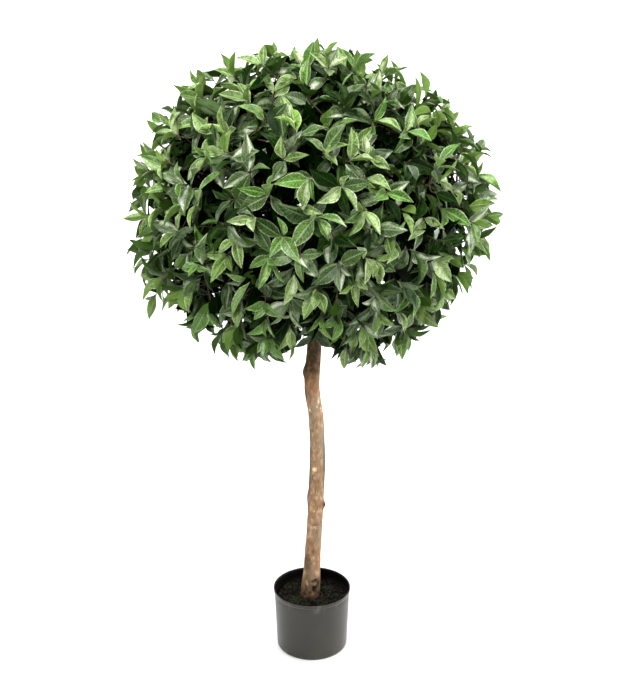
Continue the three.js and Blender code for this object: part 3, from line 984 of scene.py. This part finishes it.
def trunk_piece():
    mesh = mesh_from("trunk_bark", rod(TRUNK["sides"], TRUNK["rings"], cap_tris=True))
    points = places_of(mesh)
    height = between((TRUNK["foot"], TRUNK["tip"]), points[:, 2] + 0.5)
    turn = np.arctan2(points[:, 1], points[:, 0])
    rim = np.hypot(points[:, 0], points[:, 1])
    radius = trunk_radius(height, turn)
    skin = np.stack([radius * np.cos(turn), radius * np.sin(turn), height], 1)
    medium = lumps(skin * (1, 1, 0.5) + 3, 120)
    ridge = 1 - np.abs(lumps(skin * (1, 1, 0.16) + 11, 150))
    crossing = 1 - np.abs(lumps(skin * (0.6, 0.6, 2.2) + 17, 90))
    crack = np.clip((ridge - 0.9) / 0.1, 0, 1)
    crack = crack + 0.8 * np.clip((crossing - 0.95) / 0.05, 0, 1) * (medium > 0.15)
    relief = RELIEF["coarse"] * lumps(skin * (1, 1, 0.45), 46) + RELIEF["medium"] * medium
    relief += RELIEF["fine"] * lumps(skin * (1, 1, 0.4) + 7, 330) - RELIEF["crack"] * crack
    scar = from_knot(height, turn, KNOTS["scar"], RING_SPREAD)
    stub = from_knot(height, turn, KNOTS["stub"], RING_SPREAD)
    relief -= RELIEF["scar_dip"] * np.exp(-2 * scar**2)
    relief += RELIEF["scar_ring"] * np.exp(-12 * (scar - 1.1) ** 2)
    relief += RELIEF["stub_ring"] * np.exp(-9 * (stub - 1.0) ** 2)
    relief -= RELIEF["hollow"] * marked(height, turn, MARKS["hollow"])
    rise = SOIL["rise"] + SOIL["side_rise"] * marked(0 * height, turn, [SOIL["side"]])
    rise = rise + SOIL["lump_rise"] * medium
    across = rim * (radius + relief)
    points[:, :2] = trunk_middle(height) + np.stack([across * np.cos(turn), across * np.sin(turn)], 1)
    points[:, 2] = height
    mesh.vertices.foreach_set("co", points.ravel())
    add_attribute(mesh, "crack", np.clip(crack, 0, 1))
    add_attribute(mesh, "soil", np.clip(1.5 - (height - TRUNK["foot"]) / rise, 0, 1))
    for name, marks in MARKS.items():
        add_attribute(mesh, name, marked(height, turn, marks))
    belong(piece_from("trunk_bark", mesh, bark_finish()), "bark", "trunk")


# The ball's own coordinates: share of its size, angle from the top, turn round it.

def ball_way(down, turn):
    return np.stack([np.sin(down) * np.cos(turn), np.sin(down) * np.sin(turn), np.cos(down)], -1)


def ball_point(share, down, turn):
    return BALL_MIDDLE + column(share) * BALL_HALF * ball_way(down, turn)


def outward(points):
    return unit((points - BALL_MIDDLE) / BALL_HALF**2)


def ball_share(points):
    return np.linalg.norm((points - BALL_MIDDLE) / BALL_HALF, axis=-1)


def swell(down, turn):
    # The ball's size in each direction, where 1 is its even shape.
    way = ball_way(down, turn)
    size = 1 + UNEVEN * lumps(way, 2.6)
    for swell_turn, swell_down, amount, width in SWELLS:
        middle = ball_way(swell_down * DEGREE, swell_turn * DEGREE)
        apart = np.arccos(np.clip(dot(way, middle), -1, 1)) / (width * DEGREE)
        size = size + amount * np.exp(-apart * apart)
    return size


def reach_from(points, along, size):
    # How far it is from points inside the ball, grown to a size, to its surface along their lines.
    start = (points - BALL_MIDDLE) / (BALL_HALF * column(size))
    step = along / (BALL_HALF * column(size))
    length = dot(step, step)
    half = dot(start, step) / length
    return np.sqrt(np.maximum(half * half + (1 - dot(start, start)) / length, 0)) - half


def mass_spaces():
    # Every mass has its own stretch of turns and of angles from the top.
    spaces = []
    for row, (start, end, masses, stem_from) in enumerate(ROWS):
        step = 2 * math.pi / masses
        for k in range(masses):
            middle = (k + ROW_TURN * row) * step
            height = stem_from * MM + STEM_STAGGER * (k % 3 - 1)
            spaces.append((start * DEGREE, end * DEGREE, middle, step / 2, masses == 1, height))
    return spaces


SPACES = mass_spaces()


def masses_of(down, turn):
    # The number of the mass that each place falls in.
    found = np.zeros(len(down), dtype=int)
    for number, (start, end, middle, half, whole, _) in enumerate(SPACES):
        aside = np.abs(np.arctan2(np.sin(turn - middle), np.cos(turn - middle)))
        found[(down >= start) & (down < end) & (whole | (aside <= half))] = number
    found[down >= SPACES[-1][1]] = len(SPACES) - 1
    return found


def spiral(count):
    # Places spread evenly over the ball: angle from the top and turn.
    index = np.arange(count)
    return np.arccos(1 - 2 * (index + 0.5) / count), (index * GOLDEN_ANGLE) % (2 * math.pi)


# Limbs and twigs are cubic curves, one row of four points each.

def curve_at(curves, t):
    a, b, c, d = (curves[:, None, k] for k in range(4))
    t = t[None, :, None]
    return a * (1 - t) ** 3 + 3 * b * t * (1 - t) ** 2 + 3 * c * t * t * (1 - t) + d * t**3


def curve_way(curves, t):
    a, b, c, d = (curves[:, None, k] for k in range(4))
    t = t[None, :, None]
    return unit((b - a) * (1 - t) ** 2 + 2 * (c - b) * t * (1 - t) + (d - c) * t * t + 1e-9)


def bowed(start, end, leave, arrive):
    # A curve from start to end that leaves and arrives along the given ways.
    pull = BOW * np.linalg.norm(end - start)
    return [start, start + leave * pull, end - arrive * pull, end]


def tube_batch(stamp, curves, radii):
    # The stamp bent along each curve, from the first of the two radii to the second.
    t = stamp.points[:, 2] + 0.5
    way = curve_way(curves, t)
    chord = curves[:, 3] - curves[:, 0]
    level = np.cross(curves[:, 1] - curves[:, 0], chord)
    straight = np.linalg.norm(level, axis=1) < 1e-7
    level[straight] = np.cross(chord, np.array([0.31, 0.57, 0.11]))[straight]
    side = unit(level[:, None] - column(dot(level[:, None], way)) * way)
    other = np.cross(way, side)
    across = stamp.points[:, 0][None, :, None] * side + stamp.points[:, 1][None, :, None] * other
    return stamp, curve_at(curves, t) + between(radii, t)[None, :, None] * across


def limb_curves():
    # The stem of every mass and its two arms, as the solids have them, now gently bowed.
    stems = []
    arms = []
    owners = []
    for number, (start, end, middle, half, whole, height) in enumerate(SPACES):
        low = min(height, TRUNK["tip"] - STEM_SINK)
        root = np.array([*trunk_middle(low), low])
        centre = 0.1 if whole else (start + end) / 2
        goal = ball_point(SHELL, centre, middle)
        lift = UP * STEM_LIFT * (goal - root)[2]
        stems.append([root, between((root, goal), 0.33) + lift, between((root, goal), 0.7) + lift, goal])
        for k, share in enumerate(FORKS):
            side = 1 if k % 2 else -1
            down = end * ARM_SPREAD if whole else centre + side * ARM_DROP * (end - start)
            turn = middle + (math.pi * k if whole else side * ARM_SPREAD * half)
            fork = curve_at(np.array(stems[-1:]), np.array([share]))[0, 0]
            far = ball_point(SHELL, down, turn)
            leave = (goal - root) * ARM_LEAVE
            arms.append([fork, fork + leave, between((fork, far), 0.7) + leave * 0.2, far])
            owners.append(number)
    return np.array(stems), np.array(arms), np.array(owners)


def grown_from(goals, owners, wood, turn_share):
    # Curves to each goal from the nearest wood of its mass that lies deeper in the ball.
    places, ways, place_owners = (np.concatenate([batch[k] for batch in wood]) for k in range(3))
    curves = []
    for goal, owner in zip(goals, owners):
        mine = np.flatnonzero(place_owners == owner)
        deeper = ball_share(places[mine]) < ball_share(goal) - DEEPER
        if deeper.any():
            mine = mine[deeper]
        nearest = mine[np.argmin(np.linalg.norm(places[mine] - goal, axis=1))]
        start = places[nearest]
        leave = unit(ways[nearest] + turn_share * unit(goal - start))
        curves.append(bowed(start, goal, leave, outward(goal)))
    return np.array(curves)


def sampled(curves, owners, kind):
    # Places along the curves that newer wood may grow from, the curves' ways there, and their masses.
    t = np.linspace(GROWS_FROM[kind], 1, PLACES_ALONG)
    places = curve_at(curves, t).reshape(-1, 3)
    return places, curve_way(curves, t).reshape(-1, 3), np.repeat(owners, PLACES_ALONG)


def twigs_to(sprigs, wood):
    # A twig to each sprig's tip, which it meets along the sprig's own axis.
    curves = grown_from(sprigs["tip"], sprigs["mass"], wood, TURNS["twig"])
    length = np.linalg.norm(curves[:, 3] - curves[:, 0], axis=1)
    curves[:, 2] = sprigs["tip"] - sprigs["axis"] * column(length) * BOW
    return curves


# Leaves

def leaf_stamp(cuts, half_width, fold, arch, wave, twist, tip_power):
    # A closed thin leaf of length 1 along X. Its upper side looks along Z, folded up along the midrib.
    bm = bmesh.new()
    layer = bm.loops.layers.uv.new(UV_NAME)
    bmesh.ops.create_grid(bm, x_segments=cuts[0], y_segments=cuts[1], size=0.5)
    for face in bm.faces:
        for corner in face.loops:
            spot = corner.vert.co
            corner[layer].uv = (HALF_MIDDLE + 2 * HALF_SPREAD * spot.y, spot.x + 0.5)
    under = bmesh.ops.duplicate(bm, geom=bm.faces[:])["geom"]
    under_faces = [item for item in under if isinstance(item, bmesh.types.BMFace)]
    under_verts = {item for item in under if isinstance(item, bmesh.types.BMVert)}
    bmesh.ops.reverse_faces(bm, faces=under_faces)
    for face in under_faces:
        for corner in face.loops:
            corner[layer].uv.x += 0.5
    rim = {vert for vert in bm.verts if max(abs(vert.co.x), abs(vert.co.y)) > 0.5 - 1e-5}
    middle = {vert for vert in bm.verts if abs(vert.co.y) < 1e-5}
    for vert in bm.verts:
        along = vert.co.x + 0.5
        across = vert.co.y * 2
        width = half_width * leaf_width(along, tip_power)
        lift = fold * width * abs(across) ** 1.15 - arch * (along - 0.15) ** 2
        lift += wave * abs(across) ** 2 * math.sin(along * 9.5 + (1.7 if across > 0 else 0.2)) * width
        turn = twist * (along - 0.3)
        side = width * across * math.cos(turn)
        rise = lift + width * across * math.sin(turn)
        if vert in under_verts and vert not in rim:
            rise -= THICKNESS * (1 - across * across * 0.6)
        vert.co = (along - 0.25 * arch * along * along, side, rise)
    bmesh.ops.remove_doubles(bm, verts=bm.verts, dist=1e-5)
    for edge in bm.edges:
        on_rim = edge.verts[0] in rim and edge.verts[1] in rim
        edge.smooth = not (on_rim or (edge.verts[0] in middle and edge.verts[1] in middle))
    return Stamp(bm)


def leaf_width(along, tip_power):
    # The leaf's outline: a short stalk, then an ellipse drawn out to a point.
    if along < STALK["end"]:
        return STALK["half_width"]
    blade = (along - STALK["end"]) / (1 - STALK["end"])
    ellipse = math.sin(math.pi * blade**0.86) ** tip_power * (1 - 0.22 * blade)
    return max(ellipse, STALK["half_width"] * (1 - blade))


def leaf_copies(stamp, leaves):
    across = unit(np.cross(leaves["face"], leaves["along"]))
    face = np.cross(leaves["along"], across)
    x, y, z = (stamp.points[:, k][None, :, None] for k in range(3))
    shape = x * leaves["along"][:, None] + y * column(column(leaves["width"])) * across[:, None]
    shape = shape + z * column(column(leaves["curl"])) * face[:, None]
    return leaves["root"][:, None] + column(column(leaves["size"])) * shape


def turned_about(vectors, axis, angle):
    cosine = column(np.cos(angle))
    return (
        vectors * cosine
        + np.cross(axis, vectors) * column(np.sin(angle))
        + axis * column(dot(axis, vectors)) * (1 - cosine)
    )


def clear_of_trunk(root, along, size):
    # True where a leaf stays off the bark, above the bare neck and clear of the view of the stem's top.
    clear = np.ones(len(root), dtype=bool)
    for share in (0, 0.4, 0.75, 1):
        point = root + along * column(size * share)
        aside = np.linalg.norm(point[:, :2] - trunk_middle(point[:, 2]), axis=1)
        clear &= (aside > BARK_CLEAR) | (point[:, 2] > TRUNK["tip"] + 10 * MM)
        clear &= (aside > NECK["radius"]) | (point[:, 2] > NECK["top"])
        before = (np.abs(point[:, 0] - BALL["x"]) < FRONT["half_width"]) & (point[:, 1] < 0)
        clear &= ~before | (point[:, 2] > FRONT["top"] - FRONT["slope"] * point[:, 1])
    return clear


def whorl(sprigs, order, kind, tilts, fullness, seed):
    # One leaf for every sprig: order counts down from the tip, and tilts is its lean away from the axis.
    index = sprigs["index"]
    axis = sprigs["axis"]

    def draw(number):
        return scatter(index, order, seed + number)

    sideways = unit(np.cross(axis, UP + 0.01))
    other = np.cross(axis, sideways)
    turn = 2 * math.pi * scatter(index, 3, seed) + order * GOLDEN_ANGLE
    turn = turn + SWING * (draw(1) - 0.5)
    tilt = between(tilts, draw(2))
    spread = sideways * column(np.cos(turn)) + other * column(np.sin(turn))
    hang = sprigs["droop"] * between(HANG, draw(3))
    along = unit(axis * column(np.cos(tilt)) + spread * column(np.sin(tilt)) - UP * column(hang))
    depth = FIRST_NODE + NODE_STEP * order + OLD_NODE_STEP * max(order - OLD_FROM, 0)
    root = sprigs["tip"] - axis * depth
    face = unit(axis - along * column(dot(axis, along)) + 1e-6)
    face = turned_about(face, along, ROLL * (draw(4) - 0.5))
    natural = kind["length"] * between(kind["sizes"], draw(5))
    reach = reach_from(root, along, sprigs["size"]) * between(ENDS, draw(10))
    size = np.minimum(natural, np.maximum(reach, SHORTEST * natural))
    if order == 0:
        size = np.clip(reach, TIP_LEAF[0] * natural, TIP_LEAF[1] * natural)
    leaves = {
        "root": root,
        "along": along,
        "face": face,
        "size": size,
        "width": between(kind["widths"], draw(6)) * np.sqrt(natural / size),
        "curl": between(CURLS, draw(7)),
        "shape": draw(8),
        "deal": scatter(index, 91, seed),
        "depth": np.full(len(index), float(order)),
        "age": scatter(index, 92, seed),
        "pick": draw(11),
    }
    keep = clear_of_trunk(root, along, size)
    keep &= draw(9) < fullness
    return chosen(leaves, keep)


def gathered(groups):
    return {name: np.concatenate([group[name] for group in groups]) for name in groups[0]}


def chosen(leaves, keep):
    return {name: values[keep] for name, values in leaves.items()}


def dealt(leaves, count, number):
    return chosen(leaves, (leaves["deal"] * count).astype(int) == number)


def leaf_piece(name, stamps, leaves, material):
    batches = []
    picks = []
    for k, stamp in enumerate(stamps):
        mine = chosen(leaves, (leaves["shape"] * len(stamps)).astype(int) == k)
        batches.append((stamp, leaf_copies(stamp, mine)))
        picks.append(mine["pick"])
    return joined(name, batches, material, picks)


def sprigs_of(group):
    down, turn = spiral(group["sprigs"])
    index = np.arange(group["sprigs"]) + group["places"] * 1000.0
    down = down + SPRIG["stray_down"] * (scatter(index, 11) - 0.5)
    down = np.clip(down, SPRIG["highest"], SPRIG["lowest"])
    turn = turn + SPRIG["stray_turn"] * (scatter(index, 12) - 0.5) / np.maximum(np.sin(down), 0.2)
    size = swell(down, turn)
    tip = ball_point(between(group["shares"], scatter(index, 13)) * size, down, turn)
    lean = np.stack([scatter(index, 14, k) - 0.5 for k in range(3)], -1)
    lower = np.clip((down / math.pi - SPRIG["droop_from"]) / SPRIG["droop_over"], 0, 1)
    return {
        "index": index,
        "tip": tip,
        "axis": unit(outward(tip) + SPRIG["lean"] * lean),
        "mass": masses_of(down, turn % (2 * math.pi)),
        "droop": SPRIG["droop"] + SPRIG["low_droop"] * lower,
        "size": size,
    }


def crown():
    stems, arms, arm_owners = limb_curves()
    wood = [sampled(stems, np.arange(len(stems)), "stem"), sampled(arms, arm_owners, "arm")]
    down, turn = spiral(BRANCHLETS)
    owners = masses_of(down, turn)
    branchlets = grown_from(ball_point(BRANCHLET_REACH, down, turn), owners, wood, TURNS["branchlet"])
    wood.append(sampled(branchlets, owners, "branchlet"))
    outer = sprigs_of(OUTER)
    inner = sprigs_of(INNER)
    twigs = np.concatenate([twigs_to(outer, wood), twigs_to(inner, wood)])

    thin = Stamp(rod(5, 5))
    limbs = [
        tube_batch(Stamp(rod(8, 9)), stems, WOOD["stem"]),
        tube_batch(thin, arms, WOOD["arm"]),
        tube_batch(thin, branchlets, WOOD["branchlet"]),
    ]
    wood_finish = twig_finish()
    belong(joined("limbs", limbs, wood_finish), "bark")
    belong(joined("twigs", [tube_batch(Stamp(rod(4, 4)), twigs, WOOD["twig"])], wood_finish), "bark")
    bud_piece(outer)
    leaf_pieces(crown_leaves(outer, inner))


def crown_leaves(outer, inner):
    # The leaves of every kind. Sprigs with no young leaves have mature ones at their tips.
    seed = OUTER["leaves"]
    young = gathered([whorl(outer, order, YOUNG, tilts, share, seed) for order, tilts, share in YOUNG_WHORLS])
    plain = young["age"] < PLAIN_SHARE
    mature = [whorl(outer, order, MATURE, MATURE_TILTS, MATURE_SHARE, seed) for order in MATURE_ORDERS]
    mature = gathered(mature)
    # Deeper mature leaves take the two darker tones: painted shade.
    mature["deal"] = 0.5 * mature["deal"] + 0.5 * (mature["depth"] >= SHADED_FROM)
    seed = INNER["leaves"]
    deep = [whorl(inner, order, MATURE, tilts, DEEP_SHARE, seed) for order, tilts in enumerate(DEEP_TILTS)]
    return {
        "young": chosen(young, ~plain),
        "mature": gathered([mature, chosen(young, plain)]),
        "deep": gathered(deep),
    }


def bud_piece(sprigs):
    stamp = bead_stamp()
    size = column(column(between(BUD["sizes"], scatter(sprigs["index"], 31))))
    stretch = BUD["stretch"] * stamp.points[:, 2][None, :, None] * sprigs["axis"][:, None]
    copies = sprigs["tip"][:, None] + size * (stamp.points[None] + stretch)
    belong(joined("buds", [(stamp, copies)], bud_finish()), "bark")


def leaf_pieces(groups):
    # Every kind in one piece for each of its tones, dealt out by spray.
    for group, leaves in groups.items():
        kind = KINDS[group]
        stamps = [leaf_stamp(kind["cuts"], *shape) for shape in kind["shapes"]]
        for number, (blade, pale, gloss) in enumerate(kind["tones"]):
            name = f"{group}_leaves_{number + 1}"
            material = leaf_finish(name, kind, shade(*blade), shade(*pale), gloss)
            piece = leaf_piece(name, stamps, dealt(leaves, len(kind["tones"]), number), material)
            first = group == "mature" and number == 0
            belong(piece, "foliage", *(CROWN_NODES if first else []))


# Stage, light and camera

def stage():
    # A round floor that sweeps up into one pale wall all round.
    floor = STAGE["floor_radius"]
    sweep = STAGE["sweep"]
    profile = [(0, 0), (floor, 0)]
    for t in np.linspace(0.1, math.pi / 2, STAGE["steps"]):
        profile.append((floor + sweep * math.sin(t), sweep - sweep * math.cos(t)))
    profile += [(floor + sweep, STAGE["wall_top"])]
    finish = Finish("pale_floor", {
        "Roughness": 0.9,
        "Specular IOR Level": 0.1,
        "Emission Color": (1, 1, 1, 1),
        "Emission Strength": STAGE["glow"],
    })
    soft = finish.grain(finish.place(), 0.8, 2.0)
    finish.put("Base Color", finish.mix(soft, shade(238, 238, 238), shade(244, 244, 243)))
    bm = spun(profile, STAGE["sides"])
    bmesh.ops.reverse_faces(bm, faces=bm.faces)
    name = "floor_and_backdrop"
    piece_from(name, mesh_from(name, bm), finish.material)


def lamp(name, place, target, size, watts):
    light = bpy.data.lights.new(name, "AREA")
    light.shape = "DISK"
    light.size = size
    light.energy = watts
    holder = bpy.data.objects.new(name, light)
    holder.location = place
    holder.rotation_euler = (Vector(target) - Vector(place)).to_track_quat("-Z", "Y").to_euler()
    bpy.context.scene.collection.objects.link(holder)


def lights():
    world = bpy.data.worlds.new("studio")
    world.use_nodes = True
    background = world.node_tree.nodes["Background"]
    background.inputs["Color"].default_value = (1, 1, 1, 1)
    background.inputs["Strength"].default_value = WORLD_GLOW
    bpy.context.scene.world = world
    for name, settings in LAMPS.items():
        lamp(name, *settings)


def camera():
    data = bpy.data.cameras.new("camera")
    data.lens = CAMERA["lens"]
    data.sensor_width = CAMERA["sensor"]
    holder = bpy.data.objects.new("camera", data)
    holder.location = CAMERA["place"]
    holder.rotation_euler = (CAMERA["lean"], 0, 0)
    bpy.context.scene.collection.objects.link(holder)
    bpy.context.scene.camera = holder


bpy.context.scene.view_settings.view_transform = "Standard"
camera()
lights()
stage()
pot_piece()
filling_piece()
crumbs = crumb_finish("crumbs", shade(8, 6, 5), shade(36, 29, 21))
moss = crumb_finish("moss", shade(12, 18, 8), shade(42, 54, 22))
crumb_piece("compost_crumbs", 900, (0.9 * MM, 4.2 * MM), 41, crumbs)
crumb_piece("moss_tufts", 420, (1.2 * MM, 4.5 * MM), 57, moss, clumps=17)
trunk_piece()
crown()
